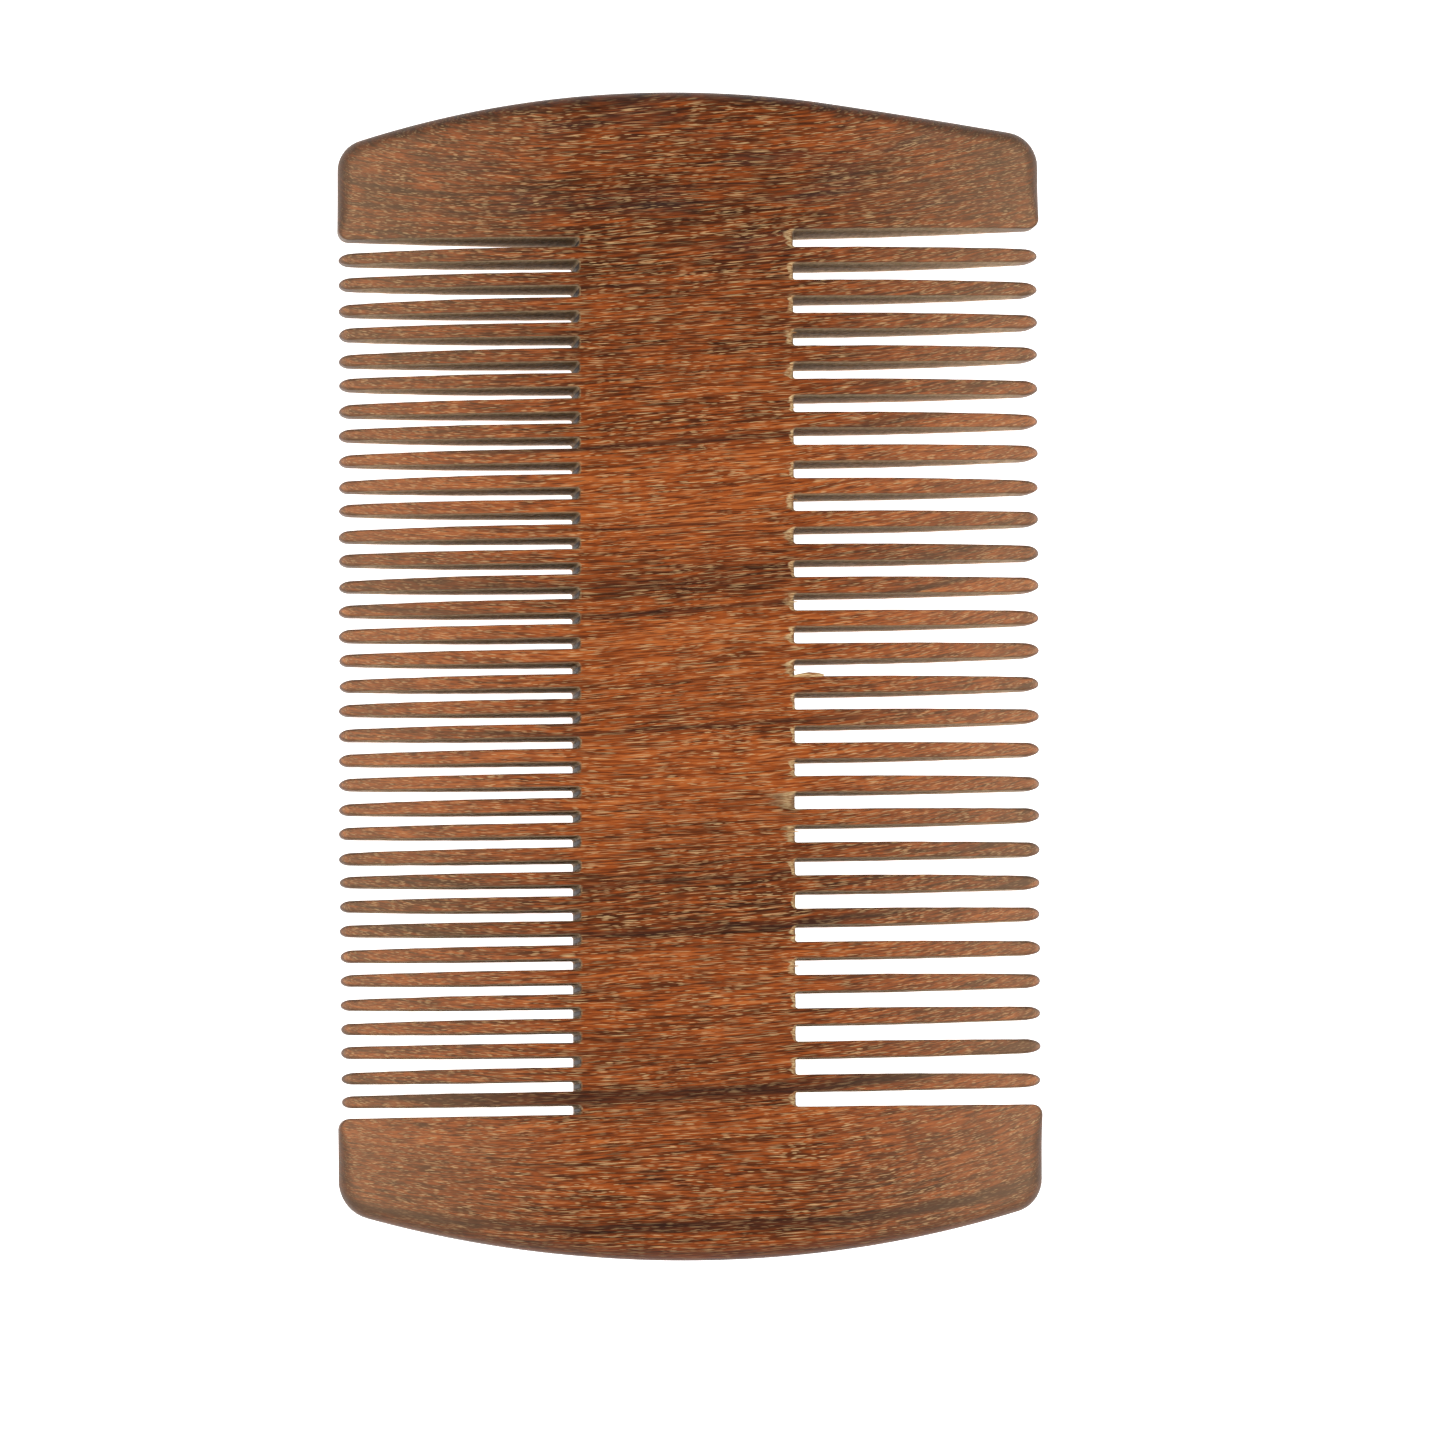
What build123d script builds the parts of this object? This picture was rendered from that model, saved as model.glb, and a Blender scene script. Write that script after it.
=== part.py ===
"""Double-sided beard comb, sawn and sanded from one flat board of wood.

The comb lies on its back face. X runs across the comb from the fine teeth to the coarse teeth,
Y runs along it from the foot end to the head end, and Z is up through its thickness.
The origin is the middle of the resting face. All lengths are in millimetres.

The real comb is a single piece of wood. It is written out as five regions that meet face to face,
so that every slot between two teeth stays open: the spine, the two end guards, and the two rows.
"""
import os

from build123d import *

# Board
LENGTH = 96.0
WIDTH = 58.0
THICKNESS = 9.5
FLAT_HALF_WIDTH = 6.0       # both faces are flat this far either side of the centre line
SIDE_THICKNESS = 2.6        # what is left of the thickness at the comb's two sides
GUARD_EDGE_RADIUS = 1.2     # sanded rounding round the outside of each guard

# Bowed ends, shaped by hand: plan radius, the place across the comb where the end reaches
# furthest, and the place from which it runs straight on to the coarse side
HEAD, FOOT = 1, -1
BOWS = {HEAD: (91.0, -1.0, 11.0), FOOT: (98.0, -0.6, WIDTH / 2)}

# Plan radii of the guards' outer corners, fine side then coarse side
CORNERS = {HEAD: (2.5, 2.8), FOOT: (3.2, 2.8)}
INNER_CORNER = 0.9          # guard corners beside the first and last tooth

# Lines where the slots end, across the comb
FINE_ROOT_X = -9.4
COARSE_ROOT_X = 8.27

# Inner edges of the guards: where each lies along the comb, at the slot's end and at the side
FINE_EDGES = {HEAD: (35.88, 35.88), FOOT: (-36.03, -36.31)}
COARSE_EDGES = {HEAD: (36.62, 37.13), FOOT: (-35.41, -35.23)}

# Teeth
TOOTH_RISE = 0.0135         # the slots are sawn a little askew: the teeth climb this much towards +X
TIP_INSET = 0.05            # the tips stop this far inside the comb's width
TIP_BULGE = 0.8             # length of the tip that is rounded from face to face
TAPER_START = 0.55          # share of its length where a tooth starts to narrow, in plan

FINE_COUNT = 35
FINE_FIRST_Y = 34.6         # centre line of the tooth next to the head, at its root
FINE_FIRST_PITCH = 2.0925
FINE_PITCH_LOSS = 0.0033    # each pitch is this much shorter than the one before it
FINE_ROOT_WIDTH = 1.13
FINE_TIP_WIDTH = 0.97
FINE_TIP_LENGTH = 1.0       # length of the half ellipse that ends a tooth, in plan

COARSE_COUNT = 26
COARSE_FIRST_Y = 34.53
COARSE_PITCH = 2.721
COARSE_ROOT_WIDTH = 1.36
COARSE_TIP_WIDTH = 1.17
COARSE_TIP_LENGTH = 1.6

# Construction
MARGIN = 5.0                # how far a cutting slab reaches beyond both faces
TOUCHING = 0.01             # an edge this close to a line lies on it
LEVEL_LIMIT = 0.5           # an edge whose tangent rises less than this runs round, not through


def face_z(x):
    """Height of the upper face at a place across the comb, where it curves down to a side."""
    run, drop = WIDTH / 2 - FLAT_HALF_WIDTH, (THICKNESS - SIDE_THICKNESS) / 2
    radius = (run ** 2 + drop ** 2) / (2 * drop)
    return THICKNESS - radius + (radius ** 2 - (abs(x) - FLAT_HALF_WIDTH) ** 2) ** 0.5


def board(length, half_width, bulge):
    """The board as a bar along Y: flat in the middle, both faces curving down to its two sides.

    The last bulge of its width on each side is rounded from face to face, and 0 leaves it square.
    """
    shoulder = half_width - bulge
    high = face_z(shoulder)
    low = THICKNESS - high
    edges = []
    for side in (-1, 1):
        flat_x, shoulder_x = side * FLAT_HALF_WIDTH, side * shoulder
        edges.append(TangentArc((flat_x, THICKNESS), (shoulder_x, high), tangent=(side, 0)))
        edges.append(TangentArc((flat_x, 0), (shoulder_x, low), tangent=(side, 0)))
        if bulge:
            tip = (side * half_width, THICKNESS / 2)
            edges.append(ThreePointArc((shoulder_x, high), tip, (shoulder_x, low)))
        else:
            edges.append(Line((shoulder_x, high), (shoulder_x, low)))
    for level in (0, THICKNESS):
        edges.append(Line((-FLAT_HALF_WIDTH, level), (FLAT_HALF_WIDTH, level)))
    return extrude(Plane.XZ * make_face(edges), length / 2, both=True)


def slab(plan):
    """A plan outline made into a block that runs right through the board."""
    return extrude(Pos(0, 0, -MARGIN) * plan, THICKNESS + 2 * MARGIN)


def rectangle(x_low, x_high, y_low, y_high):
    """A plan rectangle given by its sides."""
    centre = Pos((x_low + x_high) / 2, (y_low + y_high) / 2)
    return centre * Rectangle(x_high - x_low, y_high - y_low)


def bow_y(end, x):
    """Where the comb's bowed end lies along it, at a place across the comb."""
    radius, furthest_x, straight_x = BOWS[end]
    across = min(x, straight_x) - furthest_x
    curved = LENGTH / 2 - radius + (radius ** 2 - across ** 2) ** 0.5
    slope = across / (radius ** 2 - across ** 2) ** 0.5
    return end * (curved - slope * max(x - straight_x, 0))


def bowed_edge(end):
    """The edge round a bowed end, from the fine side to the coarse side."""
    half_width = WIDTH / 2
    furthest_x, straight_x = BOWS[end][1:]
    fine_end = (-half_width, bow_y(end, -half_width))
    bend = (straight_x, bow_y(end, straight_x))
    edge = [ThreePointArc(fine_end, (furthest_x, end * LENGTH / 2), bend)]
    if straight_x < half_width:
        edge.append(Line(bend, (half_width, bow_y(end, half_width))))
    return edge


def guard_plan(end):
    """Plan of one end guard, with its two outer corners rounded."""
    half_width = WIDTH / 2
    fine_root, fine_side = FINE_EDGES[end]
    coarse_root, coarse_side = COARSE_EDGES[end]
    step_x = FINE_ROOT_X if end == HEAD else COARSE_ROOT_X
    inside = [
        (half_width, bow_y(end, half_width)),
        (half_width, coarse_side),
        (COARSE_ROOT_X, coarse_root),
        (step_x, coarse_root),
        (step_x, fine_root),
        (FINE_ROOT_X, fine_root),
        (-half_width, fine_side),
        (-half_width, bow_y(end, -half_width)),
    ]
    lines = [Line(start, stop) for start, stop in zip(inside, inside[1:]) if start != stop]
    plan = make_face(bowed_edge(end) + lines)
    for side, radius in zip((-1, 1), CORNERS[end]):
        plan = round_corner(plan, side * half_width, bow_y(end, side * half_width), radius)
    return plan


def round_corner(plan, x, y, radius):
    """Round the one corner of a plan outline that lies at a given point."""
    return fillet(plan.vertices().sort_by_distance((x, y, 0))[0], radius)


def guard(end):
    """One end guard, with its outer edges sanded round on both faces."""
    plan = guard_plan(end)
    solid = (board(LENGTH, WIDTH / 2, 0) & slab(plan)).solid()
    sanded = fillet([edge for edge in solid.edges() if on_outside(edge)], GUARD_EDGE_RADIUS)
    plan = round_corner(plan, -WIDTH / 2, FINE_EDGES[end][1], INNER_CORNER)
    plan = round_corner(plan, WIDTH / 2, COARSE_EDGES[end][1], INNER_CORNER)
    return (sanded & slab(plan)).solid()


def on_outside(edge):
    """Whether an edge of a guard runs along a bowed end or a side of the comb.

    The corners between them are tangent to both, so a fillet takes them in by itself.
    """
    middle = edge.position_at(0.5)
    end = HEAD if middle.Y > 0 else FOOT
    level = abs(edge.tangent_at(0.5).Z) < LEVEL_LIMIT
    at_side = abs(abs(middle.X) - WIDTH / 2) < TOUCHING
    at_end = abs(middle.Y - bow_y(end, middle.X)) < TOUCHING
    return level and (at_side or at_end)


def tooth(root_x, root_width, tip_width, tip_length):
    """One tooth from its root to its rounded tip, its root's middle on the comb's centre line."""
    side = 1 if root_x > 0 else -1
    tip_x = side * (WIDTH / 2 - TIP_INSET)
    shoulder_x = tip_x - side * tip_length
    taper_x = root_x + (tip_x - root_x) * TAPER_START
    root, tip = root_width / 2, tip_width / 2
    start = -90 if side > 0 else 90

    def place(x, across):
        return (x, TOOTH_RISE * (x - root_x) + across)

    plan = make_face([
        Line(place(root_x, -root), place(root_x, root)),
        Line(place(root_x, root), place(taper_x, root)),
        Line(place(taper_x, root), place(shoulder_x, tip)),
        EllipticalCenterArc(place(shoulder_x, 0), tip_length, tip, start_angle=start, arc_size=180),
        Line(place(shoulder_x, -tip), place(taper_x, -root)),
        Line(place(taper_x, -root), place(root_x, -root)),
    ])
    return (board(3 * root_width, abs(tip_x), TIP_BULGE) & slab(plan)).solid()


def fine_tooth_y(index):
    """Middle of a fine tooth's root. The pitch closes up a little towards the foot."""
    closed_up = FINE_PITCH_LOSS * index * (index - 1) / 2
    return FINE_FIRST_Y - FINE_FIRST_PITCH * index + closed_up


def coarse_tooth_y(index):
    """Middle of a coarse tooth's root. These are evenly spaced."""
    return COARSE_FIRST_Y - COARSE_PITCH * index


def row(one_tooth, count, root_y):
    """A row of equal teeth, as separate solids in one compound."""
    return Compound(children=[Pos(0, root_y(index), 0) * one_tooth for index in range(count)])


spine_plan = rectangle(FINE_ROOT_X, COARSE_ROOT_X, FINE_EDGES[FOOT][0], COARSE_EDGES[HEAD][0])
fine_tooth = tooth(FINE_ROOT_X, FINE_ROOT_WIDTH, FINE_TIP_WIDTH, FINE_TIP_LENGTH)
coarse_tooth = tooth(COARSE_ROOT_X, COARSE_ROOT_WIDTH, COARSE_TIP_WIDTH, COARSE_TIP_LENGTH)

nodes = {
    "spine": (board(LENGTH, WIDTH / 2, 0) & slab(spine_plan)).solid(),
    "head_guard": guard(HEAD),
    "foot_guard": guard(FOOT),
    "fine_teeth": row(fine_tooth, FINE_COUNT, fine_tooth_y),
    "coarse_teeth": row(coarse_tooth, COARSE_COUNT, coarse_tooth_y),
}

os.makedirs("parts", exist_ok=True)
for name, shape in nodes.items():
    export_step(shape, f"parts/{name}.step")
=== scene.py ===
"""Looks of the double-sided beard comb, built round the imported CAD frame.

The comb is one board of reddish brown, open-pored wood. Its whole surface is made as one closed
skin, so that grain and edges run on without a break, and is then parted into a spine, two end
guards and two rows of teeth, which stand for the CAD nodes of those names. A sixth piece holds the
loose fibres that the saw tore up.

Lengths are in millimetres, in the frame's own axes: +X to the coarse teeth, +Y to the head, +Z up.
They become metres where a mesh, a light or the camera is made. An end is HEAD or FOOT, and a side
is COARSE or FINE, as the sign of the axis that points there.
"""
import math
import random

import bmesh
import bpy
from mathutils import Matrix, Vector, geometry, kdtree, noise


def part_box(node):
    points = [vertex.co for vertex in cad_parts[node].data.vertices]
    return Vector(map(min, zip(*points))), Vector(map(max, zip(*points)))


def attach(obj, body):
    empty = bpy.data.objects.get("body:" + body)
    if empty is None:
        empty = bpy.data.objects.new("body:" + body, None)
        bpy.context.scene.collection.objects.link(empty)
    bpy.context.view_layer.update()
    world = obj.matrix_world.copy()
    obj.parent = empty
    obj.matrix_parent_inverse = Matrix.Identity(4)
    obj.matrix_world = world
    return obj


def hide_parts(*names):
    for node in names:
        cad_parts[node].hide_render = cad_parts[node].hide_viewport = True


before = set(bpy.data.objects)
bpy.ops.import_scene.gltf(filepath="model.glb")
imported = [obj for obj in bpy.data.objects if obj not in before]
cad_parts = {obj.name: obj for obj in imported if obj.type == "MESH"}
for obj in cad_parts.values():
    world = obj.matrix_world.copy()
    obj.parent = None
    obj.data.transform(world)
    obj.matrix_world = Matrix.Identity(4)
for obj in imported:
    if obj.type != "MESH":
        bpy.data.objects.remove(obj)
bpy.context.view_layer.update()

MM = 0.001
HEAD, FOOT = 1, -1
COARSE, FINE = 1, -1


def box_mm(node):
    """Lowest and highest corner of a CAD node, in millimetres."""
    low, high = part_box(node)
    return low / MM, high / MM


spine_low, spine_high = box_mm("spine")
head_low, head_high = box_mm("head_guard")
foot_high = box_mm("foot_guard")[1]
THICKNESS = spine_high.z
HALF_WIDTH = head_high.x
HALF_LENGTH = head_high.y
ROOT = {COARSE: spine_high.x, FINE: spine_low.x}                # where the slots end
TIP = {COARSE: box_mm("coarse_teeth")[1].x, FINE: box_mm("fine_teeth")[0].x}

# Shape of the board, as the CAD has it
FLAT_HALF_WIDTH = 6.0
SIDE_THICKNESS = 2.6
TOOTH_RISE = 0.0135         # the slots are sawn a little askew: the teeth climb this much towards +X
COARSE_PITCH = 2.721
BOWS = {                    # plan radius of each bowed end, its furthest x, and from where it is straight
    HEAD: (91.0, -1.0, 11.0),
    FOOT: (98.0, -0.6, HALF_WIDTH),
}
CORNER = {(HEAD, COARSE): 2.8, (HEAD, FINE): 2.5, (FOOT, COARSE): 2.8, (FOOT, FINE): 3.2}
INNER_CORNER = 0.9          # plan radius of the guards' corners beside the first and last tooth
EDGE_RISE = {               # how much the guards' inner edges climb towards +X
    (HEAD, COARSE): 0.0246,
    (HEAD, FINE): 0.0,
    (FOOT, COARSE): 0.0087,
    (FOOT, FINE): 0.0143,
}
GUARD_EDGE = {              # where those edges lie along the comb, at the slots' ends
    (HEAD, COARSE): spine_high.y,
    (HEAD, FINE): head_low.y,
    (FOOT, COARSE): foot_high.y - EDGE_RISE[FOOT, COARSE] * (HALF_WIDTH - INNER_CORNER - ROOT[COARSE]),
    (FOOT, FINE): spine_low.y,
}

# Edges broken by hand: radii from the walls over into the faces
GUARD_ROUNDING = 1.2        # round the outside of the guards
SIDE_ROUNDING = 0.5         # on a guard's side just beyond its inner corner
SIDE_ROUNDING_RUN = 3.0     # and from there it grows to the full radius over this length
CORNER_ROUNDING = 0.48      # on the side's end of an inner corner
SLOT_ROUNDING = 0.1         # along teeth and slots
TIP_ROUNDING = 0.26         # at the tip of a tooth
TIP_ROUNDING_RUN = 3.0      # it grows over this length of the tooth

# Teeth
SLOT_CORNER = 0.2           # plan radius where a tooth meets the end of its slot
TIP_LENGTH = {COARSE: 1.4, FINE: 0.9}       # in plan, a tip is half an ellipse of this length
TIP_WIDTH = {COARSE: 0.87, FINE: 0.86}      # share of the root's width left where the tip begins
TAPER_START = {COARSE: 0.38, FINE: 0.5}     # share of its length where a tooth starts to narrow
TAPER_POWER = 1.15          # 1 would narrow it evenly
TIP_SIDE_LENGTH = 1.1       # seen from the side, a tip rounds off over this length
TIP_SHARPNESS = 0.88        # 1 would draw the tip out to an edge
WORN_SHORT = {COARSE: 0.0, FINE: 0.2}       # the tooth next to the foot is this much short of the others
WORN_TEETH = 9              # and the shortness dies out over this many teeth
STRAY = 0.025               # how far a tooth's wall strays from true,
STRAY_RUN = 2.0             # once it is this far from the root,
GUARD_STRAY = 0.03          # and how far a guard's does

# Ranges from which the unevenness of each tooth is drawn
SHORT_RANGE = (0.0, 0.06)
WIDTH_RANGE = (0.97, 1.02)
TIP_WIDTH_RANGE = (0.93, 1.03)
TIP_LENGTH_RANGE = (0.8, 1.15)
LEAN_RANGE = (-0.08, 0.08)
SEED = 11                   # of the draws

# Where the walls are sawn and not sanded, from 0 to 1, and the painted shade on them
TOOTH_SAWN_RUN = 2.5        # the saw marks fade out over this length towards a tooth's tip,
GUARD_SAWN_RUN = 6.0        # and over this length towards the side of a guard,
GUARD_SIDE_SAWN = 0.3       # where this much of them is left
SLOT_END_FINISH = {COARSE: (0.45, 0.5, 0.0), FINE: (0.0, 0.75, 1.0)}    # how sawn, and how much painted shade and deeper painted shade the wall gets
SAWN_EDGE_SHADE = 0.4        # how much painted shade lies on the very edge of a sawn wall

# Chips: depth behind each of these coarse slots, counted from the head, and behind all the others
DEEP_CHIPS = {4: 0.7, 12: 0.75, 13: 0.6, 14: 0.8, 18: 2.2, 19: 1.2, 23: 0.6}
USUAL_CHIP = 0.5
CHIP_SPREAD = 0.8           # share by which a usual chip can be deeper or shallower
FINE_CHIP = 0.07            # behind every fine slot
CHIP_SLOPE = 0.9            # a chip sinks by this share of its depth,
CHIP_SINK = 0.5             # and at most by this much
JAGGED_CHIP = 0.1           # a chip deeper than this has jagged sides,
JAG_REACH = 0.05            # which stray this far across,
JAG_DROP = 0.09             # and this far down
PALE_CHIP = 0.25            # a chip deeper than this is all pale torn wood
BOTTOM_CHIP = 0.25          # the bottom's edges are chipped by this share of the top's,
BOTTOM_CHIP_LIMIT = 0.6     # or of this depth if the top's is deeper

# Loose fibres: coarse slot from the head, place across it from -1 to 1, start and length out from the
# slot's end, width, and rise along the fibre. A half slot is on the tooth's edge after that slot.
SPLINTER = (14.5, 0.0, -0.1, 2.5, 0.46, 0.05)
WISPS = (
    (4, 0.5, -0.5, 0.75, 0.1, 0.06),
    (6, -0.4, -0.3, 0.5, 0.08, -0.08),
    (9, 0.3, -0.35, 0.6, 0.08, 0.1),
    (12, 0.1, -0.5, 0.8, 0.1, -0.1),
    (14, -0.3, -0.6, 0.85, 0.1, 0.05),
    (17, 0.5, -0.3, 0.5, 0.08, 0.1),
    (19, 0.4, -0.8, 1.1, 0.12, -0.06),
    (19, -0.3, -0.7, 0.9, 0.09, 0.12),
    (23, 0.0, -0.4, 0.7, 0.1, 0.08),
)
FIBRE_THICKNESS = 0.035     # a fibre is at most this thick each way from its middle,
FIBRE_FLATNESS = 0.3        # or this share of its half width,
FIBRE_SUNK = 0.6            # and its middle lies this share of that below the face
FIBRE_UNEVENNESS = 0.25     # share by which it gets wider and narrower along its length
FIBRE_END = 0.04            # its ends are cut off at this share of a full spindle
FIBRE_CURL = 2.2            # radians of a sine along which it rises

# Spacing of mesh points
OUTSIDE_STATION = 1.2       # along the guards' sides
STATION = 0.75              # along a tooth
SLOT_END_STATION = 0.13     # across the end of a slot
FACE_GRID = 1.15            # over the faces,
FACE_CLEARANCE = 0.55       # where they stay this share of the grid clear of the face's edge
CORNER_STEPS = 9            # and steps on the curves
BOW_STEPS = 56
INNER_CORNER_STEPS = 7
SLOT_CORNER_STEPS = 4
TIP_STEPS = 8
TURN_STEPS = 5              # from a wall over into a face
WALL_SHARES = (0.2, 0.5, 0.8)
FIBRE_SIDES = 6
FIBRE_STATIONS = 9

WAVINESS = 0.035            # how far the sanded faces stray from true,
BROAD_WAVE = (9.0, 6.0)     # in waves of this size across and along the comb
FINE_WAVE = (3.0, 2.2)      # and of this size
FINE_WAVE_SHARE = 0.4       # which are this share as high

TOUCHING = 0.01             # a CAD vertex this close to a line lies on it

# Where the skin is parted
STUB = 0.3                  # the rows part from the spine this far out from the slots' ends
HEAD_CUT = 0.2              # the head guard is parted off this far past its fine edge, in the slot there
FOOT_CUT = {COARSE: 0.155, FINE: 0.42}      # and the foot guard this far past its two edges


# ------------------------------------------------------------------ plan outline

class Point:
    """A point of the plan outline, and how the wall there turns over into the faces."""

    def __init__(self, x, y, inward, rounding, sawn, side=0, tip=None, darkened=None, burnt=0.0):
        self.x, self.y = x, y
        self.inset = Vector(inward) * rounding      # from the wall to the edge of the face
        self.drop = rounding                        # from the face down to the wall
        self.sawn = sawn
        # Painted shade on the wall, by default wherever it is not sawn, and deeper painted shade at a
        # slot's end
        self.darkened = 1 - sawn if darkened is None else darkened
        self.burnt = burnt
        self.side = side                            # which side the slot opens to, on a row
        self.tip = tip                              # x of the tooth's tip, on a tooth
        self.chip = 0.0                             # how far a chip widens the top's edge


def arc(centre_x, centre_y, radius, start, stop, steps):
    """Points on an arc between two angles in degrees, each with its outward direction."""
    for step in range(steps + 1):
        angle = math.radians(start + (stop - start) * step / steps)
        x, y = math.cos(angle), math.sin(angle)
        yield centre_x + radius * x, centre_y + radius * y, x, y


def between(start, stop, spacing):
    """Evenly spaced values strictly between two ends, no further apart than spacing."""
    steps = max(1, math.ceil(abs(stop - start) / spacing))
    return [start + (stop - start) * step / steps for step in range(1, steps)]


def clamped(value):
    """A value held between 0 and 1."""
    return min(max(value, 0.0), 1.0)


def edge_y(end, side, x):
    """Where a guard's edge beside a row lies along the comb, at a place across it."""
    return GUARD_EDGE[end, side] + EDGE_RISE[end, side] * (x - ROOT[side])


def bow_reach(end, x):
    """How far from the middle the bowed end lies: an arc, then straight on to the coarse side."""
    radius, furthest_x, straight_x = BOWS[end]
    across = min(x, straight_x) - furthest_x
    high = math.sqrt(radius ** 2 - across ** 2)
    return HALF_LENGTH - radius + high - across / high * max(x - straight_x, 0)


def outer_corner(end, side):
    """Centre, radius and end angle of a guard's outer corner, as if the guard were the head's."""
    radius = CORNER[end, side]
    bow_radius, furthest_x, straight_x = BOWS[end]
    x = side * (HALF_WIDTH - radius)
    inner = bow_radius - radius
    if side == COARSE and straight_x < HALF_WIDTH:
        angle = math.acos((straight_x - furthest_x) / bow_radius)
        rise = (inner - (x - furthest_x) * math.cos(angle)) / math.sin(angle)
    else:
        rise = math.sqrt(inner ** 2 - (x - furthest_x) ** 2)
        angle = math.atan2(rise, x - furthest_x)
    return x, HALF_LENGTH - bow_radius + rise, radius, math.degrees(angle)


def guard_side(end, side, stop):
    """Places up a guard's side, from its inner corner to its outer one."""
    start = end * edge_y(end, side, side * HALF_WIDTH) + INNER_CORNER
    return [(side * HALF_WIDTH, y, side, 0) for y in between(start, stop, OUTSIDE_STATION)]


def straight_run(end, start, outward):
    """Places on the straight part of a bowed end, from the coarse corner to where the arc begins."""
    straight_x = BOWS[end][2]
    if straight_x >= HALF_WIDTH:
        return []
    run = between(start, straight_x, OUTSIDE_STATION) + [straight_x]
    return [(x, bow_reach(end, x), *outward) for x in run]


def guard_outline(end):
    """Outside of a guard, anticlockwise round the comb."""
    bow_radius, furthest_x = BOWS[end][:2]
    x, y, radius, first = outer_corner(end, COARSE)
    rows = guard_side(end, COARSE, y)
    rows += arc(x, y, radius, 0, first, CORNER_STEPS)
    rows += straight_run(end, rows[-1][0], rows[-1][2:])
    x, y, radius, last = outer_corner(end, FINE)
    bow = list(arc(furthest_x, HALF_LENGTH - bow_radius, bow_radius, first, last, BOW_STEPS))
    rows += bow[1:-1]
    rows += arc(x, y, radius, last, 180, CORNER_STEPS)
    rows += reversed(guard_side(end, FINE, y))
    points = []
    for x, y, out_x, out_y in rows:
        inside = end * edge_y(end, COARSE if x > 0 else FINE, x) + INNER_CORNER
        share = min((y - inside) / SIDE_ROUNDING_RUN, 1.0)
        rounding = SIDE_ROUNDING + (GUARD_ROUNDING - SIDE_ROUNDING) * math.sin(share * math.pi / 2)
        points.append(Point(x, end * y, (-out_x, -end * out_y), rounding, 0.0))
    return points if end == HEAD else points[::-1]


def guard_edge(end, side):
    """A guard's edge beside the first or last slot, from the comb's side in to the slot's end."""
    out = HALF_WIDTH - INNER_CORNER
    stop = ROOT[side] + side * SLOT_CORNER
    points = []
    for x, y, cos, sin in arc(out, INNER_CORNER, INNER_CORNER, 0, -90, INNER_CORNER_STEPS):
        rounding = SLOT_ROUNDING + (CORNER_ROUNDING - SLOT_ROUNDING) * (1 + sin)
        place = (side * x, edge_y(end, side, side * x) + end * y)
        sawn = -GUARD_SIDE_SAWN * sin
        points.append(Point(*place, (-side * cos, -end * sin), rounding, sawn))
    for x in between(side * out, stop, STATION):
        stray = GUARD_STRAY * noise.noise((x * 0.4, GUARD_EDGE[end, side], 3.0))
        sawn = min(GUARD_SIDE_SAWN + (out - abs(x)) / GUARD_SAWN_RUN, 1.0)
        points.append(Point(x, edge_y(end, side, x) + stray, (0, end), SLOT_ROUNDING, sawn))
    for x, y, cos, sin in arc(0, 0, SLOT_CORNER, 90, 0, SLOT_CORNER_STEPS):
        inward = (-side * cos, end * sin)
        place = (stop - side * x, GUARD_EDGE[end, side] + end * (y - SLOT_CORNER))
        points.append(Point(*place, inward, SLOT_ROUNDING, 1.0, side))
    return points


def tooth_outline(side, centre, width, short, chance):
    """One tooth, from the foot-side corner of its root round its tip to the head-side corner."""
    length = abs(TIP[side] - ROOT[side]) - short - chance.uniform(*SHORT_RANGE)
    half = width / 2 * chance.uniform(*WIDTH_RANGE)
    tip_half = half * TIP_WIDTH[side] * chance.uniform(*TIP_WIDTH_RANGE)
    tip_length = TIP_LENGTH[side] * chance.uniform(*TIP_LENGTH_RANGE)
    lean = chance.uniform(*LEAN_RANGE)
    seed = chance.uniform(0, 100)
    shoulder = length - tip_length
    taper = TAPER_START[side] * length

    def half_at(s):
        share = clamped((s - taper) / (shoulder - taper))
        return half + (tip_half - half) * share ** TAPER_POWER

    def rounding_at(s):
        share = clamped((s - shoulder + TIP_ROUNDING_RUN) / TIP_ROUNDING_RUN)
        return SLOT_ROUNDING + (TIP_ROUNDING - SLOT_ROUNDING) * share ** 2

    # Half of the tooth: s runs out along it, t across it
    rows = []
    root_corner = arc(SLOT_CORNER, half + SLOT_CORNER, SLOT_CORNER, 180, 270, SLOT_CORNER_STEPS)
    for s, t, cos, sin in root_corner:
        rows.append((s, t, cos, sin, SLOT_ROUNDING))
    for s in between(SLOT_CORNER, shoulder, STATION):
        rows.append((s, half_at(s), 0, -1, rounding_at(s)))
    for across, along, cos, sin in arc(0, 0, 1, 0, 90, TIP_STEPS):
        rows.append((shoulder + tip_length * along, tip_half * across, -sin, -cos, TIP_ROUNDING))
    points = []
    for turn in (-1, 1):
        for s, t, along, across, rounding in rows if turn < 0 else reversed(rows[:-1]):
            stray = STRAY * noise.noise((s * 0.7, turn * 9.0, seed)) * min(s / STRAY_RUN, 1)
            x = ROOT[side] + side * s
            y = centre + turn * t + TOOTH_RISE * (x - ROOT[side]) + lean * (s / length) ** 2 + stray
            inward = (side * along, turn * across)
            tip = ROOT[side] + side * length
            sawn = min((length - s) / TOOTH_SAWN_RUN, 1.0)
            points.append(Point(x, y, inward, rounding, sawn, side, tip))
    return points if side == COARSE else points[::-1]


def tooth_roots(node, side):
    """Middle and width of each root in a CAD row, from the foot to the head."""
    places = [vertex.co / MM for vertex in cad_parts[node].data.vertices]
    edges = sorted({round(place.y, 3) for place in places if abs(place.x - ROOT[side]) < TOUCHING})
    return [((low + high) / 2, high - low) for low, high in zip(edges[::2], edges[1::2])]


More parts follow.
